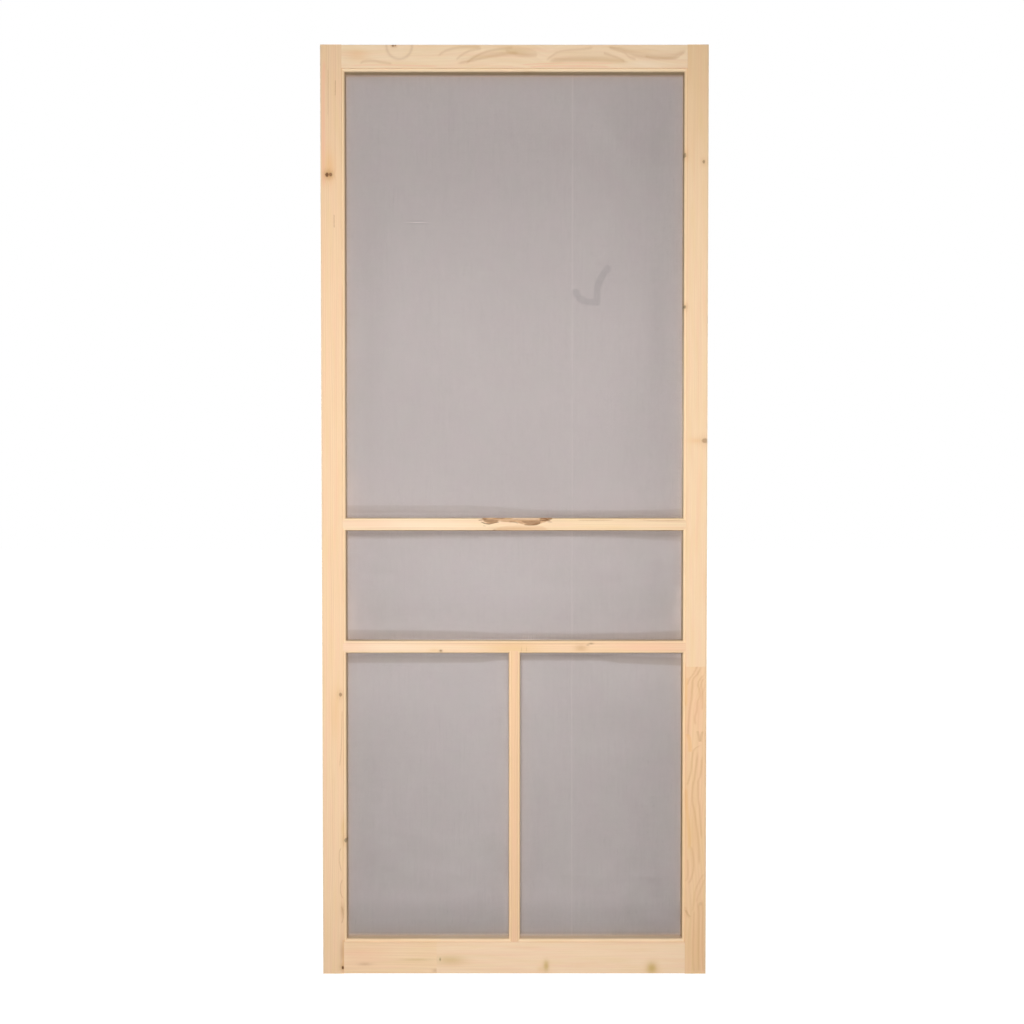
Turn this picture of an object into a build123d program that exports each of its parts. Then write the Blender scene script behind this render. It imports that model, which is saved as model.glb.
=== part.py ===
from build123d import *
import math
import os

# Wooden screen door leaf, in millimetres, +Z up.
# The front faces -Y. The origin lies on the flat outer edge of the left stile,
# at half the height and half the thickness of the leaf.

os.makedirs("parts", exist_ok=True)

# Leaf
door_height = 2032.0
door_width = 844.0
door_thickness = 25.4
arris_radius = 1.6

# Widths of the frame members, each measured to the edge of the opening
stile_width = 52.5
top_rail_width = 57.0
bottom_rail_width = 76.0
cross_rail_width = 28.5
mullion_width = 25.4

# Heights of the cross rails' centre lines above the foot of the leaf
lock_rail_height = 991.0
middle_rail_height = 722.0

# Moulded front edge of every opening: a small step, a flat and a quarter round
sticking_width = 6.0
step_depth = 1.6
ovolo_radius = 4.4

# Rabbet in the back of the frame, which takes the cloth and its mouldings
lip_depth = 16.0
rabbet_width = 12.0

# Mortise and tenon joints
tenon_setback = 6.5
tenon_thickness = 7.0
tenon_length = 32.0
mullion_tenon_length = 12.0
tenon_edge_margin = 6.5
tenon_end_margin = 14.0
mortise_spare = 1.5

# Glued finger joints in the right stile and in the bottom rail
stile_joint_height = 684.0
bottom_joint_distance = 255.5
finger_length = 10.0
finger_pitch = 4.2
finger_tip = 0.7

# Insect screen
cloth_thickness = 0.6
cloth_margin = 1.0

# Coarse square grid that stands for the cloth's weave: columns across the leaf, and
# the real yarn's width over its pitch, which the grid keeps
mesh_columns = 12
yarn_share = 0.28

# Mouldings nailed over the cloth
moulding_clearance = 0.3
moulding_round = 3.0
cross_moulding_width = 19.0

# Hollows that the bark left in the upper front edge of the lock rail:
# distance from the hinge edge, length along the edge, depth down the face
bark_hollows = ((371.5, 48.0, 12.0), (410.0, 76.0, 8.5), (457.0, 92.0, 15.0))
bark_slope = 50.0

# Planes and lines that the pieces share
front = -door_thickness / 2
back = door_thickness / 2
foot = -door_height / 2
head = door_height / 2
cloth_front = front + lip_depth
cloth_back = cloth_front + cloth_thickness
opening_left = stile_width
opening_right = door_width - stile_width
opening_low = foot + bottom_rail_width
opening_high = head - top_rail_width
lock_centre = foot + lock_rail_height
middle_centre = foot + middle_rail_height
middle_low = middle_centre - cross_rail_width / 2
mullion_centre = door_width / 2


def framed_section(width):
    """Section of an outer member: x from its outer edge, y from its front."""
    section = Polygon(
        (0, 0),
        (width - sticking_width, 0),
        (width - sticking_width, step_depth),
        (width, step_depth),
        (width, lip_depth),
        (width - rabbet_width, lip_depth),
        (width - rabbet_width, door_thickness),
        (0, door_thickness),
        align=None,
    )
    outer_corners = section.vertices().group_by(Axis.X)[0]
    section = fillet(outer_corners, arris_radius)
    return round_corner(section, width, step_depth)


def cross_section(width):
    """Section of a thin member between openings, moulded on both front edges."""
    section = Polygon(
        (0, step_depth),
        (sticking_width, step_depth),
        (sticking_width, 0),
        (width - sticking_width, 0),
        (width - sticking_width, step_depth),
        (width, step_depth),
        (width, lip_depth),
        (0, lip_depth),
        align=None,
    )
    section = round_corner(section, 0, step_depth)
    return round_corner(section, width, step_depth)


def round_corner(section, x, y):
    """Turn one corner of a section into the quarter round of the moulding."""
    corner = section.vertices().sort_by_distance((x, y, 0))[0]
    return fillet(corner, ovolo_radius)


def box_between(low, high):
    """Block from its lowest to its highest corner."""
    size = [b - a for a, b in zip(low, high)]
    return Pos(*low) * Box(*size, align=Align.MIN)


def upright(section, x, low, high):
    """Vertical member whose section starts at x."""
    plane = Plane(origin=(x, front, low), x_dir=(1, 0, 0), z_dir=(0, 0, 1))
    return extrude(plane * section, amount=high - low)


def rail_upwards(section, z, left, right):
    """Horizontal member whose section starts at z and is drawn upwards."""
    plane = Plane(origin=(right, front, z), x_dir=(0, 0, 1), z_dir=(-1, 0, 0))
    return extrude(plane * section, amount=right - left)


def rail_downwards(section, z, left, right):
    """Horizontal member whose section starts at z and is drawn downwards."""
    plane = Plane(origin=(left, front, z), x_dir=(0, 0, -1), z_dir=(1, 0, 0))
    return extrude(plane * section, amount=right - left)


def rail_tenons(low, high, length):
    """Tenon at each end of a rail, between two heights."""
    near = front + tenon_setback
    far = near + tenon_thickness
    left = box_between((opening_left - length, near, low), (opening_left, far, high))
    right = box_between((opening_right, near, low), (opening_right + length, far, high))
    return left + right


def mullion_tenons(length):
    """Tenon at the top and at the foot of the mullion."""
    near = front + tenon_setback
    far = near + tenon_thickness
    half = mullion_width / 2 - tenon_edge_margin
    left = mullion_centre - half
    right = mullion_centre + half
    upper = box_between((left, near, middle_low), (right, far, middle_low + length))
    lower = box_between((left, near, opening_low - length), (right, far, opening_low))
    return upper + lower


def finger_outline(joint, beyond):
    """Zigzag through the thickness at a joint, closed on the side of beyond."""
    count = max(1, round(door_thickness / finger_pitch))
    pitch = door_thickness / count
    root = joint - finger_length / 2
    tip = joint + finger_length / 2
    points = [(front - pitch, beyond), (back + pitch, beyond), (back + pitch, root)]
    for i in range(count):
        start = back - i * pitch
        points.append((start, root))
        points.append((start - (pitch - finger_tip) / 2, tip))
        points.append((start - (pitch + finger_tip) / 2, tip))
        points.append((start - pitch + finger_tip, root))
    points.append((front - pitch, root))
    return Polygon(*points, align=None)


def split_upright(member, joint, left, right):
    """Cut a vertical member at a finger joint: the upper and the lower piece."""
    plane = Plane(origin=(left, 0, 0), x_dir=(0, 1, 0), z_dir=(1, 0, 0))
    outline = finger_outline(joint, foot - finger_length)
    below = extrude(plane * outline, amount=right - left)
    return member - below, member & below


def split_rail(member, joint, low, high):
    """Cut a horizontal member at a finger joint: the left and the right piece."""
    plane = Plane(origin=(0, 0, high), x_dir=(0, 1, 0), z_dir=(0, 0, -1))
    outline = finger_outline(joint, -finger_length)
    left_side = extrude(plane * outline, amount=high - low)
    return member & left_side, member - left_side


def bark_hollow(centre, length, depth):
    """Round bar that scoops one bark hollow out of the lock rail's upper edge.

    The bar climbs towards the back, so the hollow runs out on top of the rail.
    """
    slope = math.radians(bark_slope)
    sagitta = depth * math.cos(slope)
    radius = (length**2 / 4 + sagitta**2) / (2 * sagitta)
    lowest = lock_centre + cross_rail_width / 2 - depth
    axis_y = front - radius * math.sin(slope)
    axis_z = lowest + radius * math.cos(slope)
    bar = Cylinder(radius, 4 * lip_depth, rotation=(bark_slope - 90, 0, 0))
    return Pos(centre, axis_y, axis_z) * bar


def cross_rail(centre):
    """Thin rail between the stiles, coped over their moulded edges."""
    low = centre - cross_rail_width / 2
    left = opening_left - sticking_width
    right = opening_right + sticking_width
    rail = rail_upwards(cross_section(cross_rail_width), low, left, right)
    return rail - left_stile_bar - right_stile_bar


def cross_tenon_heights(centre):
    """Lowest and highest point of a cross rail's tenons."""
    half = cross_rail_width / 2 - tenon_edge_margin
    return centre - half, centre + half


def ring_corners(reach):
    """Corners of a frame around the openings, anticlockwise from the lower left."""
    left = opening_left - reach
    right = opening_right + reach
    low = opening_low - reach
    high = opening_high + reach
    return [(left, low), (right, low), (right, high), (left, high)]


def mesh_openings(left, right, low, high):
    """Openings of the cloth's coarse grid inside one opening of the leaf."""
    pitch = (opening_right - opening_left) / mesh_columns
    columns = max(1, round((right - left) / pitch))
    rows = max(1, round((high - low) / pitch))
    across = (right - left) / columns
    up = (high - low) / rows
    opening = Rectangle(across * (1 - yarn_share), up * (1 - yarn_share))
    middle = Pos((left + right) / 2, (low + high) / 2)
    return [middle * place * opening for place in GridLocations(across, up, columns, rows)]


def edge_moulding(side):
    """Mitred moulding on one side of the rabbet, rounded along its inner back edge."""
    following = (side + 1) % 4
    outer = ring_corners(rabbet_width - moulding_clearance)
    inner = ring_corners(0)
    outline = Polygon(outer[side], outer[following], inner[following], inner[side], align=None)
    plane = Plane(origin=(0, back, 0), x_dir=(1, 0, 0), z_dir=(0, -1, 0))
    piece = extrude(plane * outline, amount=back - cloth_back)
    inner_x = (inner[side][0] + inner[following][0]) / 2
    inner_z = (inner[side][1] + inner[following][1]) / 2
    return fillet(piece.edges().sort_by_distance((inner_x, back, inner_z))[0], moulding_round)


def bar_moulding(low, high, along):
    """Straight moulding behind a thin member, rounded along both back edges."""
    piece = box_between((low[0], cloth_back, low[1]), (high[0], back, high[1]))
    back_edges = piece.faces().sort_by(Axis.Y)[-1].edges().filter_by(along)
    return fillet(back_edges, moulding_round)


# Frame members before their mortises are cut
left_stile_bar = upright(framed_section(stile_width), 0, foot, head)
right_stile_bar = mirror(left_stile_bar, Plane.YZ.offset(mullion_centre))

rabbet_left = opening_left - rabbet_width
rabbet_right = opening_right + rabbet_width
top_rail_bar = rail_downwards(framed_section(top_rail_width), head, rabbet_left, rabbet_right)
top_rail_bar = top_rail_bar - left_stile_bar - right_stile_bar
bottom_rail_bar = rail_upwards(framed_section(bottom_rail_width), foot, rabbet_left, rabbet_right)
bottom_rail_bar = bottom_rail_bar - left_stile_bar - right_stile_bar

lock_rail_bar = cross_rail(lock_centre)
for hollow in bark_hollows:
    lock_rail_bar = lock_rail_bar - bark_hollow(*hollow)
middle_rail_bar = cross_rail(middle_centre)

mullion_left = mullion_centre - mullion_width / 2
mullion_bar = upright(
    cross_section(mullion_width),
    mullion_left,
    opening_low - sticking_width,
    middle_low + sticking_width,
)
mullion_bar = mullion_bar - bottom_rail_bar - middle_rail_bar

# Tenons, and the slightly deeper mortises that take them
tenon_heights = (
    (opening_high + tenon_edge_margin, head - tenon_end_margin),
    cross_tenon_heights(lock_centre),
    cross_tenon_heights(middle_centre),
    (foot + tenon_end_margin, opening_low - tenon_edge_margin),
)
top_rail, lock_rail, middle_rail, bottom_rail = [
    bar + rail_tenons(low, high, tenon_length)
    for bar, (low, high) in zip(
        (top_rail_bar, lock_rail_bar, middle_rail_bar, bottom_rail_bar), tenon_heights
    )
]
mullion = mullion_bar + mullion_tenons(mullion_tenon_length)

left_stile = left_stile_bar
right_stile = right_stile_bar
for low, high in tenon_heights:
    mortises = rail_tenons(low, high, tenon_length + mortise_spare)
    left_stile = left_stile - mortises
    right_stile = right_stile - mortises
mullion_mortises = mullion_tenons(mullion_tenon_length + mortise_spare)
middle_rail = middle_rail - mullion_mortises
bottom_rail = bottom_rail - mullion_mortises

# Boards that are glued up from two lengths of pine
right_stile_upper, right_stile_lower = split_upright(
    right_stile, foot + stile_joint_height, opening_right - sticking_width, door_width + sticking_width
)
bottom_rail_left, bottom_rail_right = split_rail(
    bottom_rail, bottom_joint_distance, foot - sticking_width, opening_low + sticking_width
)

# One cloth over all the openings, behind the cross rails and the mullion
cloth_corners = ring_corners(rabbet_width - cloth_margin)
half_rail = cross_rail_width / 2
panels = (
    (opening_left, opening_right, lock_centre + half_rail, opening_high),
    (opening_left, opening_right, middle_centre + half_rail, lock_centre - half_rail),
    (opening_left, mullion_left, opening_low, middle_low),
    (mullion_left + mullion_width, opening_right, opening_low, middle_low),
)
cloth = Polygon(*cloth_corners, align=None)
for panel in panels:
    cloth = cloth - mesh_openings(*panel)
cloth_plane = Plane(origin=(0, cloth_back, 0), x_dir=(1, 0, 0), z_dir=(0, -1, 0))
insect_screen = extrude(cloth_plane * cloth, amount=cloth_thickness)

# Mouldings in the rabbet, mitred at the corners
moulding_bottom, moulding_right, moulding_top, moulding_left = [
    edge_moulding(side) for side in range(4)
]

# Mouldings that clamp the cloth to the cross rails and the mullion
half_moulding = cross_moulding_width / 2
moulding_lock = bar_moulding(
    (opening_left, lock_centre - half_moulding),
    (opening_right, lock_centre + half_moulding),
    Axis.X,
)
moulding_middle = bar_moulding(
    (opening_left, middle_centre - half_moulding),
    (opening_right, middle_centre + half_moulding),
    Axis.X,
)
moulding_mullion = bar_moulding(
    (mullion_centre - half_moulding, opening_low),
    (mullion_centre + half_moulding, middle_centre - half_moulding),
    Axis.Z,
)

pieces = {
    "left_stile": left_stile,
    "right_stile_upper": right_stile_upper,
    "right_stile_lower": right_stile_lower,
    "top_rail": top_rail,
    "lock_rail": lock_rail,
    "middle_rail": middle_rail,
    "bottom_rail_left": bottom_rail_left,
    "bottom_rail_right": bottom_rail_right,
    "mullion": mullion,
    "insect_screen": insect_screen,
    "moulding_left": moulding_left,
    "moulding_right": moulding_right,
    "moulding_top": moulding_top,
    "moulding_bottom": moulding_bottom,
    "moulding_lock": moulding_lock,
    "moulding_middle": moulding_middle,
    "moulding_mullion": moulding_mullion,
}
for name, piece in pieces.items():
    export_step(piece, f"parts/{name}.step")
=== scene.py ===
"""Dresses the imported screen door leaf: pine, woven insect screen, brads and torn bark."""
import math

import bpy
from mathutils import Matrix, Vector


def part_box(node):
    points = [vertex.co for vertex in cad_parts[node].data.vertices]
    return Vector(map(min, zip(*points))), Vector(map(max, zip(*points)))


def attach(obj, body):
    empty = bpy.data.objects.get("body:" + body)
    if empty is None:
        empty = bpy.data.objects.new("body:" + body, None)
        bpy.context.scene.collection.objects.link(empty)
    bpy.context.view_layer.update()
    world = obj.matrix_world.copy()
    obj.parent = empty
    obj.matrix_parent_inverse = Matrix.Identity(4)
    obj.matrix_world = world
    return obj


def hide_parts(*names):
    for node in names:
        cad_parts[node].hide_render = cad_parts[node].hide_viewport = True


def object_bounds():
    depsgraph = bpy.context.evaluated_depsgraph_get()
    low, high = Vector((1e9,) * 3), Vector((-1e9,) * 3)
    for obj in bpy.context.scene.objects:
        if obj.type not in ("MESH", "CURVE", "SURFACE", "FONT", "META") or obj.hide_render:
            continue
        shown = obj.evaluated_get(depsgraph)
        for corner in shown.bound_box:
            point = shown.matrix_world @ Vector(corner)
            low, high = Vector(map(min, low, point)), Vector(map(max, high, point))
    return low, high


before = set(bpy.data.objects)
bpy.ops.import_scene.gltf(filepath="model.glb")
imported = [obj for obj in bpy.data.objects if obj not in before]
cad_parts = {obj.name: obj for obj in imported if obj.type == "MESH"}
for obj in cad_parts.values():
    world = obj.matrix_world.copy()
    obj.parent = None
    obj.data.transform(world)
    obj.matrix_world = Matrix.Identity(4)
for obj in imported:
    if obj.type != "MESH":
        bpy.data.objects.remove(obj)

bl_info = {
    "name": "Wooden screen door leaf",
    "version": (1, 0, 0),
    "blender": (4, 5, 0),
    "location": "View3D > Sidebar > Screen door",
    "description": "Finishes the packed screen door leaf and sets its studio",
    "category": "Object",
}

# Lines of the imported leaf, in metres
LEAF_LOW, LEAF_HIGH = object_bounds()
CLOTH_LOW, CLOTH_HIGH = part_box("insect_screen")
LOCK_LOW, LOCK_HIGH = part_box("lock_rail")
MIDDLE_LOW, MIDDLE_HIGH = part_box("middle_rail")
MULLION_LOW, MULLION_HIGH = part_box("mullion")
LEAF_MIDDLE = (LEAF_LOW.x + LEAF_HIGH.x) / 2
RABBET_CLEARANCE = 0.011
OPENING_LEFT = CLOTH_LOW.x + RABBET_CLEARANCE
OPENING_RIGHT = CLOTH_HIGH.x - RABBET_CLEARANCE
OPENING_LOW = CLOTH_LOW.z + RABBET_CLEARANCE
OPENING_HIGH = CLOTH_HIGH.z - RABBET_CLEARANCE
LOCK_CENTRE = (LOCK_LOW.z + LOCK_HIGH.z) / 2
MIDDLE_CENTRE = (MIDDLE_LOW.z + MIDDLE_HIGH.z) / 2
THIN_HALF = (MIDDLE_HIGH.z - MIDDLE_LOW.z) / 2
MULLION_CENTRE = (MULLION_LOW.x + MULLION_HIGH.x) / 2
MULLION_HALF = (MULLION_HIGH.x - MULLION_LOW.x) / 2
# How far from where it is held the cloth hangs fully loose
LOOSE_AT = 0.055
# The moulded step's width, the front and the lock rail's top, in millimetres
STICKING_MM = 6.0
FRONT_MM = LEAF_LOW.y * 1000
LOCK_TOP_MM = (LOCK_CENTRE + THIN_HALF) * 1000


class Channel:
    """A number that varies over a surface or a mesh, written as a Python expression."""

    def __init__(self, graph, socket):
        self.graph = graph
        self.socket = socket

    def maths(self, operation, *others):
        values = dict(enumerate((self, *others)))
        return self.graph.node("ShaderNodeMath", values, operation=operation)

    def __add__(self, other):
        return self.maths("ADD", other)

    __radd__ = __add__

    def __sub__(self, other):
        return self.maths("SUBTRACT", other)

    def __rsub__(self, other):
        return self.graph.node("ShaderNodeMath", {0: other, 1: self}, operation="SUBTRACT")

    def __mul__(self, other):
        return self.maths("MULTIPLY", other)

    __rmul__ = __mul__

    def __truediv__(self, other):
        return self.maths("DIVIDE", other)

    def __pow__(self, other):
        return self.maths("POWER", other)

    def __neg__(self):
        return self * -1.0

    def size(self):
        return self.maths("ABSOLUTE")

    def least(self, other):
        return self.maths("MINIMUM", other)

    def most(self, other):
        return self.maths("MAXIMUM", other)

    def between(self, low, high):
        return self.most(low).least(high)

    def rise(self, low, high):
        """0 below low, 1 above high, and smooth between them."""
        values = {"Value": self, "From Min": low, "From Max": high}
        return self.graph.node("ShaderNodeMapRange", values, interpolation_type="SMOOTHSTEP")

    def fall(self, low, high):
        return 1 - self.rise(low, high)

    def bell(self, centre, reach):
        """1 at centre, falling off on both sides."""
        away = (self - centre) * (1 / reach)
        return (-(away * away)).maths("EXPONENT")


class Graph:
    """The nodes of one material, world or geometry tree."""

    def __init__(self, tree):
        self.tree = tree
        tree.nodes.clear()

    def node(self, kind, values=None, output=0, curve=None, **settings):
        """One output of a new node with its settings and the values or links of its inputs."""
        made = self.tree.nodes.new(kind)
        for name, value in settings.items():
            setattr(made, name, value)
        if curve:
            draw_curve(made.mapping, curve)
        for name, value in (values or {}).items():
            if isinstance(value, Channel):
                self.tree.links.new(value.socket, made.inputs[name])
            else:
                made.inputs[name].default_value = value
        return Channel(self, made.outputs[output]) if made.outputs else None

    def axes(self, vector, scale=1.0):
        """The three parts of a vector, scaled."""
        parts = self.node("ShaderNodeSeparateXYZ", {0: vector}).socket.node
        return [Channel(self, parts.outputs[i]) * scale for i in range(3)]

    def millimetres(self):
        """The place on the object, which is the place in the leaf."""
        return self.axes(self.node("ShaderNodeTexCoord", output="Object"), 1000.0)

    def vector(self, x=0.0, y=0.0, z=0.0):
        return self.node("ShaderNodeCombineXYZ", {0: x, 1: y, 2: z})

    def cloud(self, x=0.0, y=0.0, z=0.0, detail=2.0):
        """Smooth noise about 0, from about -1 to 1, whose grain is one unit long."""
        values = {"Vector": self.vector(x, y, z), "Scale": 1.0, "Detail": detail}
        return (self.node("ShaderNodeTexNoise", values) - 0.5) * 2.8

    def tint(self, factor, colour, other, mode="MIX"):
        """Colour mixed towards another colour."""
        values = {0: factor, 6: colour, 7: other}
        return self.node("ShaderNodeMix", values, output=2, data_type="RGBA", blend_type=mode)

    def shaded(self, colour, shade):
        """Colour made lighter or darker."""
        return self.tint(1.0, colour, self.vector(shade, shade, shade), "MULTIPLY")

    def asks(self, **names):
        """Named inputs of a geometry tree, listed by the kind of their sockets."""
        for kind, of_kind in names.items():
            for name in of_kind:
                self.tree.interface.new_socket(name, in_out="INPUT", socket_type=kind)
        source = self.node("NodeGroupInput").socket.node
        return {name: Channel(self, source.outputs[name]) for of_kind in names.values() for name in of_kind}

    def gives(self, geometry):
        """The geometry that a tree ends in."""
        kind = "NodeSocketGeometry"
        self.tree.interface.new_socket("Geometry", in_out="OUTPUT", socket_type=kind)
        self.node("NodeGroupOutput", {0: geometry})

    def surface(self, colour, roughness, height=None, depth=0.0, **uniform):
        """Principled surface wired to the output, with an optional bump of that depth."""
        values = {"Base Color": colour, "Roughness": roughness, **uniform}
        if height is not None:
            bump = {"Strength": 1.0, "Distance": depth, "Height": height}
            values["Normal"] = self.node("ShaderNodeBump", bump)
        self.ends("Material", self.node("ShaderNodeBsdfPrincipled", values))

    def ends(self, kind, shader):
        """The shader that a material or a world ends in."""
        self.node(f"ShaderNodeOutput{kind}", {"Surface": shader})


def draw_curve(mapping, places):
    """Puts places, from 0 to 1 both ways, on the only curve of a curve node."""
    points = mapping.curves[0].points
    while len(points) < len(places):
        points.new(0.5, 0.5)
    for point, place in zip(points, places):
        point.location = place
        point.handle_type = "AUTO_CLAMPED"
    mapping.update()


def new_material(name):
    material = bpy.data.materials.new(name)
    material.use_nodes = True
    return material, Graph(material.node_tree)


def linear(red, green, blue):
    """A colour that is named by its usual 0 to 255 numbers, as Blender's linear one."""
    parts = [part / 255 for part in (red, green, blue)]
    return (*[p / 12.92 if p <= 0.04045 else ((p + 0.055) / 1.055) ** 2.4 for p in parts], 1.0)


WHITE = (1.0, 1.0, 1.0, 1.0)
TINTS = {
    "dark": linear(172, 118, 70),
    "line": linear(200, 142, 92),
    "tan": linear(206, 160, 112),
    "yellow": linear(232, 190, 128),
    "pale": linear(255, 232, 205),
    "honey": linear(226, 184, 124),
    "amber": linear(240, 186, 122),
    "rose": linear(250, 190, 158),
    "olive": linear(214, 178, 112),
    "knot": linear(92, 62, 38),
    "torn": linear(226, 182, 140),
    "bark": linear(128, 86, 50),
}

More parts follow.
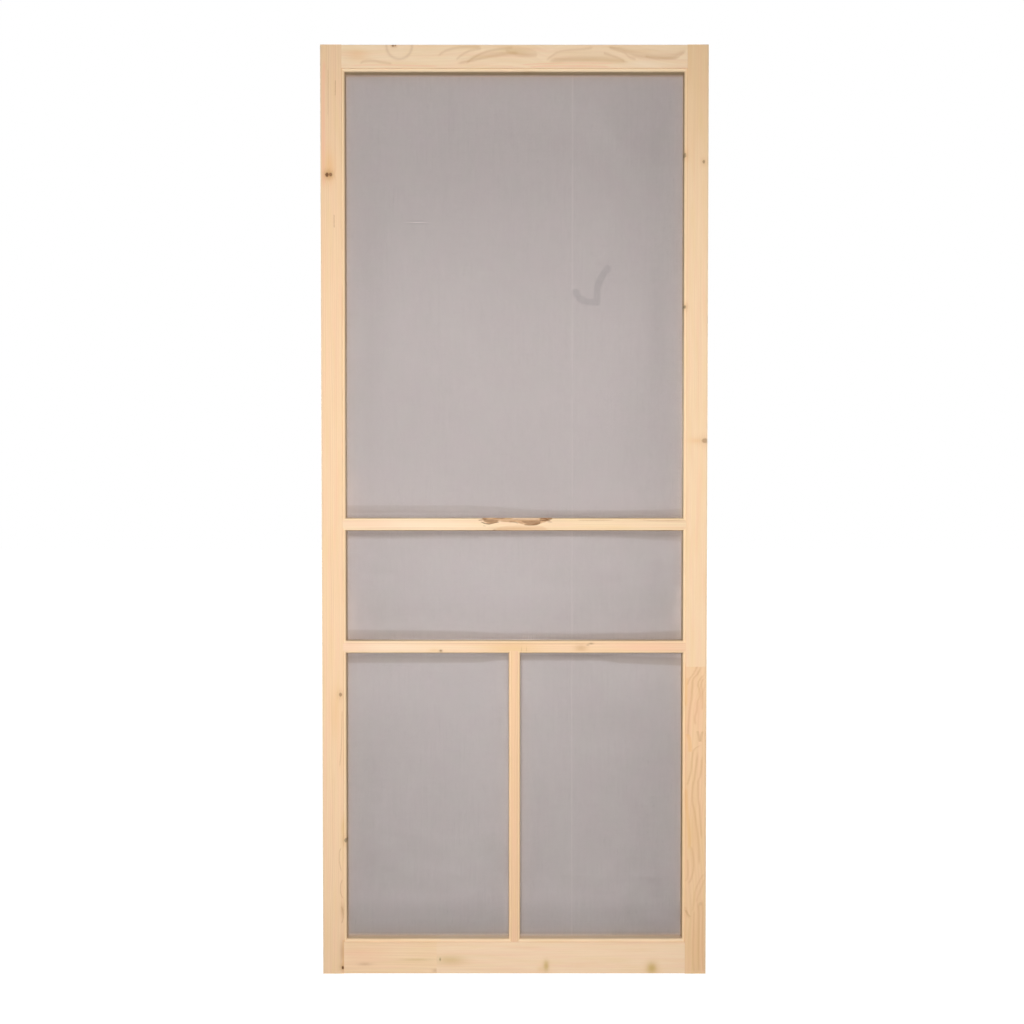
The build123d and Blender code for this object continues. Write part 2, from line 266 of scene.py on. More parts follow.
# What is peculiar to each board. Places are (x, z) in millimetres in the leaf's own
# frame. pith is the ring centre from the board's middle line, across and in depth,
# lean its drift across and in depth per metre, ring the width of a growth ring.
# knots: x, z, half width, half height, darkness. patches: x, z, half width, half
# height, strength and tint. arcs: x, z, radius, half width and strength. growth:
# strength, tint, softness, half width all along or at each place, and the places of a
# growth line along and across the grain. fields are the same, paler towards their
# upper side. bends shift the grain across: at, reach along the grain, shift. shade sets
# the painted shade on the walls inside the openings, arris that on their front edge.
BOARDS = {
    "left_stile": dict(
        grain="Z", middle=26.25, half=26.25, step_sides=(1,), outer=-1, shade=0.4, pith=(-95, 40),
        lean=(6, 9), ring=3.4, bands=0.2, tone=(1.01, 1.03, 1.03),
        knots=(
            (14.6, 735.3, 3.6, 4.6, 0.95), (22.4, 735.6, 3.4, 3.8, 0.75), (40.6, -398.6, 3, 4.2, 0.55),
            (50.5, -720.9, 2.6, 4.6, 0.9), (43.5, -1002.5, 2.6, 3.6, 1),
        ),
        growth=(
            (0.35, "dark", 0.9, 0.9, ((620, 29.9), (650, 29.7))),
            (0.45, "rose", 3, (2.5, 3.4, 2), ((700, 8), (860, 7), (990, 9))),
            (0.3, "dark", 1, (0.8, 0.9), ((905, 33), (940, 33.6))),
            (0.2, "dark", 1, (0.6, 0.8), ((860, 17), (965, 17.6))),
            (0.26, "dark", 1.2, (0.6, 0.7, 0.6), ((-560, 38), (-500, 42.5), (-430, 44))),
            (0.26, "dark", 1.2, (0.7, 0.8, 0.7), ((-790, 41), (-755, 36.5), (-735, 41.5))),
            (0.26, "dark", 1.2, (0.7, 0.8, 0.7), ((-850, 44.5), (-828, 39), (-806, 43))),
            (0.3, "dark", 1.2, (0.7, 0.9, 0.7), ((-905, 42), (-884, 44.5), (-866, 41))),
            (0.42, "amber", 3, 2, ((-1009, 44), (-987, 45), (-938, 46))),
        ),
        patches=(
            (20, 752, 13, 34, 0.5, "amber"), (46, -690, 5, 22, 0.5, "yellow"),
            (30, -440, 12, 60, 0.3, "amber"), (43, -874, 4.5, 15, 0.3, "dark"),
            (42, -968, 5, 26, 0.34, "dark"),
        ),
    ),
    "right_stile_upper": dict(
        grain="Z", middle=817.75, half=26.25, step_sides=(-1,), outer=1, shade=0.75, pith=(120, -46),
        lean=(-5, 7), ring=3, bands=0.16, tone=(1.035, 1.085, 1.1),
        patches=((817, 1000, 80, 260, 0.28, "honey"), (818, 158, 16, 6, 0.35, "amber")),
        knots=(
            (793, 778.5, 2.4, 5, 0.85), (833.4, 763.4, 2.6, 3.6, 0.5), (793.7, 449.5, 2.2, 3.4, 1),
            (838.6, 158, 7, 5, 0.45),
        ),
    ),
    "right_stile_lower": dict(
        grain="Z", middle=817.75, half=26.25, step_sides=(-1,), outer=1, shade=0.75, pith=(-32, 58),
        lean=(26, 20), ring=7, bands=0.16, line=0.2, waver=1.7, tone=(1, 0.965, 0.895),
        bends=((-330, 62, -30), (-700, 90, 9), (-860, 60, -6)),
        knots=((831.5, -861, 3, 4, 0.1),),
        growth=(
            (0.3, "line", 3.6, 1, ((-378, 801), (-365, 806), (-352, 815), (-333, 824))),
            (0.34, "line", 3.6, 1.1, (
                (-494, 803), (-468, 804), (-448, 805), (-422, 808), (-402, 811), (-385, 812), (-368, 813),
                (-354, 823), (-333, 834),
            )),
            (0.33, "line", 3.6, 1.1, (
                (-468, 820), (-453, 818), (-434, 822), (-414, 824), (-398, 829), (-388, 828), (-376, 825),
                (-366, 829), (-352, 838),
            )),
            (0.3, "line", 3.6, 1, ((-434, 834), (-410, 835), (-388, 834), (-378, 832), (-361, 840))),
            (0.31, "line", 3.6, 1, (
                (-601, 801), (-587, 805), (-567, 810), (-543, 812), (-521, 816), (-514, 824), (-507, 836),
            )),
            (0.34, "line", 3.6, 1.1, (
                (-781, 829), (-749, 828), (-720, 826), (-686, 822), (-652, 817), (-626, 813), (-604, 814),
                (-587, 817), (-565, 820), (-541, 823), (-521, 825),
            )),
            (0.31, "line", 3.6, 1, (
                (-720, 834), (-677, 831), (-648, 829), (-621, 826), (-596, 826), (-579, 830), (-555, 833),
                (-531, 834),
            )),
            (0.3, "line", 3.6, 1, ((-818, 804), (-802, 812), (-776, 816), (-747, 814), (-731, 810))),
            (0.22, "line", 3.6, 0.9, ((-813, 799), (-785, 804), (-761, 803))),
            (0.22, "line", 3.6, 0.9, ((-880, 814), (-858, 817), (-834, 820), (-813, 828), (-792, 840))),
            (0.19, "line", 3.6, 0.9, ((-858, 822), (-845, 826), (-824, 834), (-805, 841))),
            (0.22, "line", 3.6, 1.2, ((-894, 808), (-885, 803), (-867, 798))),
            (0.25, "line", 3.6, 1, ((-1016, 817), (-965, 816), (-920, 817), (-872, 817))),
            (0.29, "line", 3.6, 1, ((-1016, 829), (-943, 828), (-887, 828), (-854, 825))),
            (0.27, "line", 3.6, 1, ((-1016, 838), (-954, 837), (-898, 837), (-849, 835))),
            (0.35, "tan", 2.4, 2.2, ((-503, 829), (-491, 827), (-478, 824))),
            (0.35, "tan", 2.4, 2.2, ((-503, 831), (-491, 832), (-479, 835))),
            (0.18, "dark", 1.2, 1.2, ((-599, 842.3), (-535, 842.5), (-478, 841))),
            (0.45, "amber", 3, 2.6, ((-743, 803), (-721, 807), (-690, 805), (-646, 801), (-602, 799))),
            (0.45, "amber", 3, 3.4, ((-526, 808), (-504, 807), (-484, 802))),
            (0.35, "amber", 3, 2.4, ((-425, 798), (-390, 799), (-359, 801))),
            (0.4, "tan", 2, 2, ((-890, 810), (-884, 804), (-874, 799))),
        ),
        patches=(
            (812, -700, 16, 60, 0.3, "yellow"), (826, -430, 14, 40, 0.25, "rose"),
            (822, -950, 20, 60, 0.25, "yellow"),
        ),
    ),
    "top_rail": dict(
        grain="X", middle=987.5, half=28.5, step_sides=(-1,), shade=0.66, pith=(-75, 46), lean=(-6, 8),
        ring=13, bands=0.1, line=0.26, waver=2.2, tone=(1.06, 1.175, 1.27),
        bends=((90, 60, 6), (400, 100, -24), (494, 26, 12), (600, 80, -16), (775, 60, 10)),
        knots=((158.2, 1013.4, 2.2, 2, 0.8), (163.8, 1013.8, 1.8, 1.6, 0.7), (447.8, 956, 3.4, 2.2, 0.45)),
        arcs=((172, 1012.5, 27.5, 3.2, 0.22),),
        growth=(
            (0.36, "tan", 4.4, 1.4, ((315, 974), (329, 985), (352, 997), (376, 1004), (422, 1010))),
            (0.32, "tan", 4.4, 1.4, ((254, 991), (265, 998), (280, 1005), (306, 1010), (350, 1011))),
            (0.32, "tan", 4.4, 1.4, ((294, 983), (309, 994), (329, 1004), (352, 1008))),
            (0.32, "tan", 4.4, 1.4, ((85, 975), (109, 981), (132, 978), (158, 974))),
            (0.32, "tan", 4.4, 1.4, (
                (489, 980), (504, 992), (522, 1001), (543, 1004), (571, 1006), (595, 1010),
            )),
            (0.32, "tan", 4.4, 1.4, ((614, 998), (644, 988), (662, 980))),
            (0.32, "tan", 4.4, 1.4, ((626, 1010), (644, 1004), (662, 997), (671, 989), (687, 983))),
            (0.36, "tan", 4.4, 1, (
                (702, 991), (718, 988), (735, 986), (766, 986), (784, 995), (796, 1003),
            )),
            (0.3, "rose", 1.4, 1.4, ((63, 969.9), (128, 972), (194, 970.7), (259, 969.4))),
            (0.4, "rose", 1.2, 1, ((433, 972), (487, 975), (553, 976.3), (644, 975.5))),
            (0.4, "rose", 1.2, 1.4, ((450, 967.3), (520, 969.9), (585, 969.4), (633, 967.7))),
            (0.3, "rose", 1.2, 0.8, ((324, 967.7), (368, 969.9), (422, 969))),
        ),
        fields=(
            (0.5, "tan", 6, (0.6, 4, 7.6, 9.4, 9.6, 6.8, 3, 0.6), (
                (492, 980), (505, 984), (524, 988), (564, 990), (607, 990), (635, 987), (655, 982),
                (672, 980),
            )),
            (0.48, "tan", 6, (0.8, 3.4, 7.4, 9.6, 10.4, 9.6, 5, 1.6), (
                (620, 1012), (646, 1010), (672, 1003), (696, 998), (727, 996), (757, 995), (781, 1001),
                (798, 1009),
            )),
            (0.46, "tan", 7, (1, 5, 8.2, 6, 1.4), (
                (400, 1005), (416, 1003), (437, 1000), (461, 998), (474, 996),
            )),
            (0.5, "tan", 6, (2, 3, 4.6, 5.2, 4.4, 2.6), (
                (296, 977), (316, 981), (337, 987), (368, 994), (400, 998), (433, 1000),
            )),
        ),
        patches=(
            (80, 992, 24, 14, 0.35, "amber"), (420, 1003, 40, 8, 0.3, "olive"),
            (700, 972, 40, 9, 0.35, "pale"),
        ),
    ),
    "lock_rail": dict(
        grain="X", middle=-25, half=14.25, step_sides=(-1, 1), arris={-1: 0.85, 1: 0.45}, pith=(70, 60),
        lean=(0, 8), ring=3, bands=0.18, tone=(1, 1.1, 1.14),
        patches=(
            (190, -25, 170, 30, 0.5, "pale"), (110, -24, 70, 9, 0.25, "rose"),
            (425, -34.5, 60, 3.6, 0.55, "tan"), (610, -14.5, 30, 2.2, 0.35, "tan"),
            (775, -16, 34, 2.6, 0.3, "tan"), (700, -13.5, 36, 2.2, 0.35, "tan"),
        ),
        growth=(
            (0.35, "dark", 0.9, (0.7, 1, 0.5), ((375, -37), (392, -36), (412, -38))),
            (0.25, "dark", 0.9, (0.6, 0.8, 0.5), ((560, -15.4), (590, -16.2), (640, -15.6))),
            (0.22, "dark", 0.9, (0.7, 0.9, 0.6), ((700, -14.6), (735, -16.8), (790, -15))),
            (0.2, "dark", 0.9, (0.5, 0.7, 0.5), ((90, -33), (180, -32.4), (300, -33.4))),
        ),
    ),
    "middle_rail": dict(
        grain="X", middle=-294, half=14.25, step_sides=(-1, 1), arris={-1: 0.85, 1: 0.45}, pith=(-64, 44),
        lean=(4, 6), ring=3.2, bands=0.18, tone=(1.01, 1.04, 1.06),
        growth=(
            (0.2, "dark", 0.9, (0.5, 0.6, 0.5), ((50, -286), (400, -286.4), (640, -286.8))),
        ),
        patches=(
            (130, -294, 180, 30, 0.45, "pale"), (420, -296, 60, 14, 0.5, "yellow"),
            (437.5, -300, 0.9, 6, 0.3, "dark"), (448.4, -300, 0.9, 6, 0.3, "dark"),
            (568, -296, 14, 8, 0.55, "tan"), (590, -286.2, 5, 1.9, 0.55, "bark"),
            (583, -289.4, 3.4, 1.6, 0.4, "bark"), (260.4, -302.6, 3.4, 2.8, 0.95, "bark"),
            (246, -301, 12, 4, 0.4, "yellow"), (60, -294, 40, 12, 0.24, "rose"),
            (720, -294, 90, 12, 0.39, "rose"),
        ),
    ),
    "bottom_rail_left": dict(
        grain="X", middle=-978, half=38, step_sides=(1,), shade=0.35, pith=(-80, 60), lean=(0, 10), ring=4,
        bands=0.16, tone=(1.06, 1.11, 1.13),
        patches=(
            (252.6, -984, 1.5, 3.4, 0.9, "knot"), (205, -985, 36, 3, 0.45, "olive"),
            (92.1, -994.7, 15, 4, 0.35, "dark"), (247, -1009.3, 7, 4, 0.45, "tan"),
            (90, -975, 60, 30, 0.25, "rose"),
        ),
    ),
    "bottom_rail_right": dict(
        grain="X", middle=-978, half=38, step_sides=(1,), shade=0.35, pith=(60, 84), lean=(8, 12), ring=4.4,
        bands=0.06, line=0.1, tone=(1.055, 1.12, 1.2),
        patches=(
            (258.2, -984.2, 1.5, 3.2, 0.85, "knot"), (282, -986, 34, 11, 0.55, "olive"),
            (492, -999, 6.5, 13, 0.85, "olive"), (480, -1006, 8, 6, 0.4, "yellow"),
            (725, -1004, 12.5, 14, 0.95, "olive"),
        ),
    ),
    "mullion": dict(
        grain="Z", middle=422, half=12.7, step_sides=(-1, 1), pith=(60, 30), lean=(4, 6), ring=3,
        bands=0.18, tone=(0.97, 0.93, 0.9),
    ),
    "moulding_upright": dict(
        grain="Z", middle=0, half=0, step_sides=(), pith=(-300, 60), lean=(6, 9), ring=2.6, bands=0.35,
        tone=(0.96, 0.95, 0.94),
    ),
    "moulding_level": dict(
        grain="X", middle=0, half=0, step_sides=(), pith=(-1400, 60), lean=(6, 9), ring=2.8, bands=0.35,
        tone=(0.96, 0.96, 0.95),
    ),
}
UPRIGHT_MOULDINGS = ("moulding_left", "moulding_right", "moulding_mullion")
LEVEL_MOULDINGS = ("moulding_top", "moulding_bottom", "moulding_lock", "moulding_middle")

# Bark hollows of the lock rail as the part's source cuts them, in millimetres: middle,
# length and depth
BARK_HOLLOWS = ((371.5, 48, 12), (410, 76, 8.5), (457, 92, 15))
BARK_SLOPE = math.radians(50)
# Torn wood in and below them, listed as growth is
BARK_MARKS = (
    (0.45, "bark", 1.6, (0.8, 3.2, 3.6, 2.6, 1.2), (
        (352.1, -13.1), (359.9, -16.1), (369, -17.7), (378.1, -17.4), (387.3, -17.4),
    )),
    (0.8, "bark", 0.8, (0.5, 0.9, 1.1, 0.8, 0.6, 0.4), (
        (347.5, -19), (356, -22.2), (365.1, -23.8), (372.9, -22.6), (382.1, -20.5), (389.9, -19.6),
    )),
    (0.6, "bark", 0.8, (0.5, 0.7, 0.4), ((382.1, -11.4), (391.2, -11.4), (401, -11.6))),
    (0.6, "bark", 1, (0.6, 1.1, 0.5), ((351.4, -12.1), (355.3, -13.1), (360.2, -14))),
    (0.85, "pale", 0.6, (0.5, 1, 1, 0.5), ((416, -12.6), (430.3, -12.7), (456.4, -12.9), (477.9, -13))),
    (0.5, "bark", 1.4, (0.6, 2.2, 3.2, 3.4, 2, 0.6), (
        (436.8, -17.9), (445.9, -20.3), (456.4, -21.6), (466.8, -21.3), (475.9, -20), (480.5, -19),
    )),
    (0.75, "bark", 0.8, (0.4, 0.9, 1.1, 1.1, 0.5), (
        (442.7, -25.9), (456.4, -26.4), (466.8, -25.7), (474.6, -23.7), (479.9, -20.3),
    )),
    (0.7, "bark", 0.7, (0.5, 0.9, 0.7, 0.4), (
        (476.6, -16), (486.4, -16.4), (495.5, -16.8), (501.4, -15.6),
    )),
    (0.85, "bark", 0.7, (0.5, 0.8, 0.4), ((477.2, -13.2), (486.4, -12.1), (492.2, -11.4))),
    (0.95, "bark", 0.7, (0.6, 1.3, 0.5), ((495.5, -12.1), (500.7, -12.8), (504.9, -12.3))),
    (0.85, "bark", 0.8, (0.6, 1.5, 0.6), ((488.3, -12.4), (492.2, -13.6), (496.8, -14.6))),
    (0.4, "bark", 0.6, (0.4, 0.6, 0.4), ((493.5, -19.6), (499.4, -19.8), (504.9, -20))),
    (0.55, "bark", 1.2, (0.4, 0.9, 0.9, 0.4), (
        (409.4, -19.2), (419.9, -19.6), (427, -21.2), (430.3, -22.7),
    )),
    (0.5, "bark", 0.6, (0.4, 0.7, 0.4), ((342.9, -15.6), (347.5, -15.3), (352.7, -15))),
    (0.35, "bark", 0.6, (0.4, 0.6, 0.4), ((352.7, -28.2), (356, -28.4), (359.4, -28.9))),
    (0.38, "torn", 2.4, (0.8, 3.2, 5, 6, 6, 3.6, 0.8), (
        (376.2, -37.1), (391.2, -34.2), (417.3, -32.6), (443.3, -33.1), (469.4, -33.9), (489, -36.3),
        (496.2, -38.4),
    )),
    (0.4, "bark", 1, (0.6, 1.4, 0.6), ((374.5, -37.6), (377.5, -37.6), (380.7, -37.3))),
)


class PineSettings(bpy.types.PropertyGroup):
    earlywood: bpy.props.FloatVectorProperty(
        name="Earlywood", description="Colour of the pale wood between the growth lines",
        subtype="COLOR", size=3, default=linear(247, 210, 171)[:3],
    )
    latewood: bpy.props.FloatVectorProperty(
        name="Latewood", description="Colour of the growth lines",
        subtype="COLOR", size=3, default=linear(206, 156, 108)[:3],
    )
    knot: bpy.props.FloatVectorProperty(
        name="Knot", description="Colour of the knots",
        subtype="COLOR", size=3, default=linear(112, 72, 36)[:3],
    )
    bark: bpy.props.FloatVectorProperty(
        name="Bark hollow", description="Colour of the torn wood in the bark hollow",
        subtype="COLOR", size=3, default=linear(150, 102, 60)[:3],
    )
    roughness: bpy.props.FloatProperty(
        name="Roughness", description="Roughness of the sanded wood",
        subtype="FACTOR", min=0.0, max=1.0, default=0.62,
    )


class ScreenSettings(bpy.types.PropertyGroup):
    yarn: bpy.props.FloatProperty(
        name="Yarn", description="Diameter of the coated yarn", unit="LENGTH", default=0.00042,
    )
    warp_pitch: bpy.props.FloatProperty(
        name="Warp pitch", description="Distance between upright yarns", unit="LENGTH",
        default=0.00141,
    )
    weft_pitch: bpy.props.FloatProperty(
        name="Weft pitch", description="Distance between level yarns", unit="LENGTH",
        default=0.00159,
    )
    slack: bpy.props.FloatProperty(
        name="Slack", description="How far the loose cloth bulges back between the rails",
        unit="LENGTH", default=0.005,
    )
    colour: bpy.props.FloatVectorProperty(
        name="Yarn colour", description="Colour of the coated yarn",
        subtype="COLOR", size=3, default=linear(176, 165, 162)[:3],
    )


class BradSettings(bpy.types.PropertyGroup):
    head: bpy.props.FloatProperty(
        name="Head", description="Diameter of a brad's head", unit="LENGTH", default=0.0019,
    )
    pitch: bpy.props.FloatProperty(
        name="Pitch", description="Distance between brads, before they are shared out evenly",
        unit="LENGTH", default=0.15,
    )
    inset: bpy.props.FloatProperty(
        name="Inset", description="Distance of the first and last brad from a moulding's ends",
        unit="LENGTH", default=0.022,
    )


class StudioSettings(bpy.types.PropertyGroup):
    lamp_power: bpy.props.FloatProperty(
        name="Lamp power", description="Power of the three lamps in front of the leaf together",
        unit="POWER", default=38.2,
    )
    surround: bpy.props.FloatProperty(
        name="Surround", description="Strength of the even light from all around", default=0.12,
    )
    floor: bpy.props.FloatVectorProperty(
        name="Floor", description="Colour of the floor",
        subtype="COLOR", size=3, default=(0.86, 0.86, 0.86),
    )


def band(graph, along, across, half, places):
    """How far along a band a point is, how far off its middle, and how wide it is there."""
    start, end = places[0][0], places[-1][0]
    walked = (along - start) * (1 / (end - start))

    def drawn(values):
        low, high = min(values), max(values)
        if high - low < 0.01:
            return low
        curve = [
            ((place[0] - start) / (end - start), (value - low) / (high - low))
            for place, value in zip(places, values)
        ]
        line = graph.node("ShaderNodeFloatCurve", {"Value": walked}, curve=curve)
        return line * (high - low) + low

    off = across - drawn([place[1] for place in places])
    return walked, off, drawn(half) if isinstance(half, tuple) else half


def growth_mark(graph, along, across, soft, half, places, paler=False):
    """Mask of a growth line or field drawn through places along and across the grain."""
    walked, off, half = band(graph, along, across, half, places)
    mask = (off.size() - half).fall(-soft / 2, soft)
    mask = mask * walked.rise(0.0, 0.08) * walked.fall(0.92, 1.0)
    if paler:
        uneven = graph.cloud(along * 0.02, across * 0.25) * 0.2
        mask = mask * (0.9 + uneven - (off / half).rise(-1.2, 1.0) * 0.7)
    return mask


def away_squared(x, z, middle_x, middle_z, half_x=1.0, half_z=1.0):
    """Square of the distance from a middle, in half widths and half heights."""
    off_x, off_z = (x - middle_x) * (1 / half_x), (z - middle_z) * (1 / half_z)
    return off_x * off_x + off_z * off_z


def ring_count(graph, board, along, across, y):
    """How many growth rings away the board's pith is, a little wavering."""
    restless = board.get("waver", 1.0)
    waver = graph.cloud(along * 0.0045, across * 0.016, y * 0.016) * (3.2 * restless)
    ripple = graph.cloud(along * 0.022, across * 0.07, y * 0.07) * (0.55 * restless)
    side = across + waver + ripple
    for at, reach, shift in board.get("bends", ()):
        side = side + along.bell(at, reach) * shift
    lean_across, lean_deep = (part / 1000 for part in board["lean"])
    side = side - board["pith"][0] - along * lean_across
    deep = y - board["pith"][1] - along * lean_deep
    radius = (side * side + deep * deep) ** 0.5
    return radius / board["ring"] + graph.cloud(radius * 0.11, along * 0.0008) * 1.1


def knot_shades(board, mark_x, mark_z):
    """How many rings the knots bend aside, how brown the wood around them is, and how dark they are."""
    bent, halo, dark = 0.0, 0.0, 0.0
    for *place, darkness in board.get("knots", ()):
        reach = away_squared(mark_x, mark_z, *place) ** 0.5
        swirl = reach.bell(0.0, 2.6)
        bent = swirl * (1.4 * darkness) + bent
        halo = swirl * (0.55 * darkness) + halo
        rim = reach.bell(0.95, 0.22) * 0.4
        dark = (reach.fall(0.6, 1.15) + rim) * darkness + dark
    return bent, halo, dark


def front_marks(graph, board, mark_x, mark_z, near_front, colour):
    """Colour with the growth lines, fields, patches and arcs of the board's front."""
    along, across = (mark_z, mark_x) if board["grain"] == "Z" else (mark_x, mark_z)
    for kind in ("fields", "growth"):
        for strength, tint, *line in board.get(kind, ()):
            mask = growth_mark(graph, along, across, *line, paler=kind == "fields")
            colour = graph.tint(mask * near_front * strength, colour, TINTS[tint])
    for *place, strength, tint in board.get("patches", ()):
        mask = (-away_squared(mark_x, mark_z, *place)).maths("EXPONENT") * near_front
        colour = graph.tint(mask * strength, colour, TINTS[tint])
    for *place, ring, thick, strength in board.get("arcs", ()):
        mask = (away_squared(mark_x, mark_z, *place) ** 0.5).bell(ring, thick) * near_front
        colour = graph.tint(mask * strength, colour, TINTS["dark"])
    return colour


def edge_shades(graph, board, across, y, near_front, colour):
    """Colour with painted shade at the step and inside the openings, a painted highlight on its lip and a
    greyer outer edge.
    """
    half = board["half"]
    corner = half - STICKING_MM
    for step_side in board["step_sides"]:
        towards = across * step_side
        # Painted shade in the corner of the moulded step
        line = towards.bell(corner, 0.9)
        colour = graph.tint(line * near_front * 0.12, colour, linear(186, 140, 96))
        # Painted highlight on the rounded lip of the step
        lip_highlight = towards.rise(corner, corner + 1.5)
        colour = graph.tint(lip_highlight * near_front * 0.3, colour, linear(255, 230, 186))
        # Painted shade on the step's front edge, stronger on the lower side of the thin rails
        if "arris" in board:
            arris = towards.rise(half - 2.6, half - 1.2) * y.rise(FRONT_MM + 1.6, FRONT_MM + 3.4)
            colour = graph.tint(arris * board["arris"][step_side], colour, linear(140, 104, 72))
        # Painted shade on the walls inside the openings
        wall_shade = towards.rise(half - 2.6, half - 0.8) * y.rise(FRONT_MM + 2.4, FRONT_MM + 7.0)
        colour = graph.tint(wall_shade * board.get("shade", 0.5), colour, linear(144, 120, 84))
    if "outer" in board:
        outer = (across * board["outer"]).rise(half - 5.0, half - 0.6)
        colour = graph.tint(outer * near_front * 0.5, colour, linear(206, 190, 164))
    return colour


def pine_material(name, board, pine):
    """Pine whose growth rings run through the whole board around its own pith."""
    material, graph = new_material(f"{name}_pine")
    x, y, z = graph.millimetres()
    upright = board["grain"] == "Z"
    along, across = (z, x) if upright else (x, z)
    across = across - board["middle"]
    # Marks sit a little unevenly
    ragged = graph.cloud(x * 0.35, y * 0.1, z * 0.35) * 0.7
    mark_x, mark_z = x + ragged, z - ragged

    bent, halo, dark = knot_shades(board, mark_x, mark_z)
    turn = (ring_count(graph, board, along, across, y) + bent).maths("FRACT")
    if "line" in board:
        late = turn.bell(0.5, board["line"])
    else:
        late = turn.rise(0.25, 0.9) * turn.fall(0.92, 1.0)
    fading = graph.cloud(along * 0.006, across * 0.05, y * 0.05).rise(-0.9, 0.5)
    bands = late * (fading * 0.6 + 0.4) * board["bands"]

    streaks = graph.cloud(along * 0.004, across * 0.32, y * 0.32)
    fibres = graph.cloud(along * 0.05, across * 2.6, y * 2.6)
    blush = graph.cloud(along * 0.008, across * 0.09, y * 0.09)
    honey = graph.cloud(along * 0.010, across * 0.10, y * 0.10 + 40.0)
    canals = graph.cloud(along * 0.11, across * 1.9, y * 1.9, detail=0.0).rise(0.86, 1.1)

    earlywood = (*[a * b for a, b in zip(pine.earlywood, board["tone"])], 1.0)
    colour = graph.tint(bands, earlywood, (*pine.latewood, 1.0))
    colour = graph.tint(blush.rise(-0.4, 1.0) * 0.34, colour, linear(250, 196, 164))
    colour = graph.tint(honey.rise(-0.3, 1.0) * 0.34, colour, linear(240, 206, 148))
    colour = graph.shaded(colour, 1 + streaks * 0.03 + fibres * 0.03 - canals * 0.10)

    near_front = y.fall(FRONT_MM + 1.5, FRONT_MM + 9.0)
    colour = front_marks(graph, board, mark_x, mark_z, near_front, colour)
    if "knots" in board:
        colour = graph.tint(halo.between(0.0, 0.8), colour, linear(205, 152, 96))
        colour = graph.tint(dark.between(0.0, 1.0), colour, (*pine.knot, 1.0))
    colour = edge_shades(graph, board, across, y, near_front, colour)
    if name == "lock_rail":
        colour = bark_tint(graph, (x, y, z), colour, pine)

    # End grain drinks more light
    normal = graph.node("ShaderNodeNewGeometry", output="Normal")
    ends = graph.axes(normal)[2 if upright else 0].size().rise(0.6, 0.9)
    colour = graph.tint(ends * 0.35, colour, linear(214, 160, 104))

    roughness = pine.roughness + late * 0.05 + ends * 0.15
    height = fibres * 0.35 + late * 0.25 + streaks * 0.2
    graph.surface(colour, roughness, height, 0.00006, **{"Specular IOR Level": 0.35})
    return material


def bark_section(length, depth):
    """Radius and centre in depth and height of the round bar that scoops a bark hollow."""
    sagitta = depth * math.cos(BARK_SLOPE)
    radius = (length**2 / 4 + sagitta**2) / (2 * sagitta)
    centre_y = FRONT_MM - radius * math.sin(BARK_SLOPE)
    centre_z = LOCK_TOP_MM - depth + radius * math.cos(BARK_SLOPE)
    return radius, centre_y, centre_z


def bark_tint(graph, place, colour, pine):
    """Brown torn wood in the bark hollows, frayed at the rim and streaked along the grain."""
    x, y, z = place
    frayed = graph.cloud(x * 0.16, y * 0.5, z * 0.5, detail=3.0)
    torn = 0.0
    for middle, *size in BARK_HOLLOWS:
        radius, centre_y, centre_z = bark_section(*size)
        rise = (z - centre_z) * math.cos(BARK_SLOPE) - (y - centre_y) * math.sin(BARK_SLOPE)
        away = away_squared(x, rise, middle, 0.0) ** 0.5 + frayed * 0.9
        torn = away.fall(radius + 0.2, radius + 1.1).most(torn)
    fibre = graph.cloud(x * 0.045, y * 0.8, z * 0.8, detail=3.0)
    wood = graph.tint(fibre.rise(-0.5, 0.9), linear(206, 160, 118), linear(246, 208, 166))
    dark = graph.cloud(x * 0.05, y * 1.1, z * 1.1 + 9.0, detail=3.0).rise(0.2, 0.9)
    wood = graph.tint(dark * 0.6, wood, (*pine.bark, 1.0))
    colour = graph.tint(torn * 0.85, colour, wood)
    jagged_x, jagged_z = x + frayed * 1.6, z + frayed * 0.5
    within = torn.most(y.fall(FRONT_MM + 1.5, FRONT_MM + 6.0))
    for strength, tint, *line in BARK_MARKS:
        mask = growth_mark(graph, jagged_x, jagged_z, *line)
        colour = graph.tint(mask * within * strength, colour, TINTS[tint])
    return colour


class SCREENDOOR_OT_finish_pine(bpy.types.Operator):
    """Give every frame member its own board of pine, and the upright and the level mouldings one each"""

    bl_idname = "screendoor.finish_pine"
    bl_label = "Finish the pine"

    def execute(self, context):
        pine = context.scene.screendoor_pine
        shared = {"moulding_upright": UPRIGHT_MOULDINGS, "moulding_level": LEVEL_MOULDINGS}
        for name, board in BOARDS.items():
            material = pine_material(name, board, pine)
            for node in shared.get(name, (name,)):
                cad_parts[node].material_slots[0].material = material
        return {"FINISHED"}


def spindle(start, end, half, lift):
    """Tapered fibre between two points, its middle lifted, as corners and faces."""
    rings, sides = 7, 5
    corners, faces = [tuple(start)], []
    axis = (end - start).normalized()
    over = axis.cross(Vector((0.0, -1.0, 0.0))).normalized()
    beside = axis.cross(over)
    for ring in range(1, rings):
        part = ring / rings
        swell = math.sin(math.pi * part)
        centre = start.lerp(end, part) + lift * swell
        for side in range(sides):
            turn = 2 * math.pi * side / sides
            reach = over * math.cos(turn) + beside * math.sin(turn)
            corners.append(tuple(centre + reach * half * (0.35 + 0.65 * swell)))
    corners.append(tuple(end))
    last = len(corners) - 1
    for side in range(sides):
        after = (side + 1) % sides
        faces.append((0, 1 + after, 1 + side))
        faces.append((last, last - sides + side, last - sides + after))
        for ring in range(rings - 2):
            low = 1 + ring * sides
            faces.append((low + side, low + after, low + sides + after, low + sides + side))
    return corners, faces


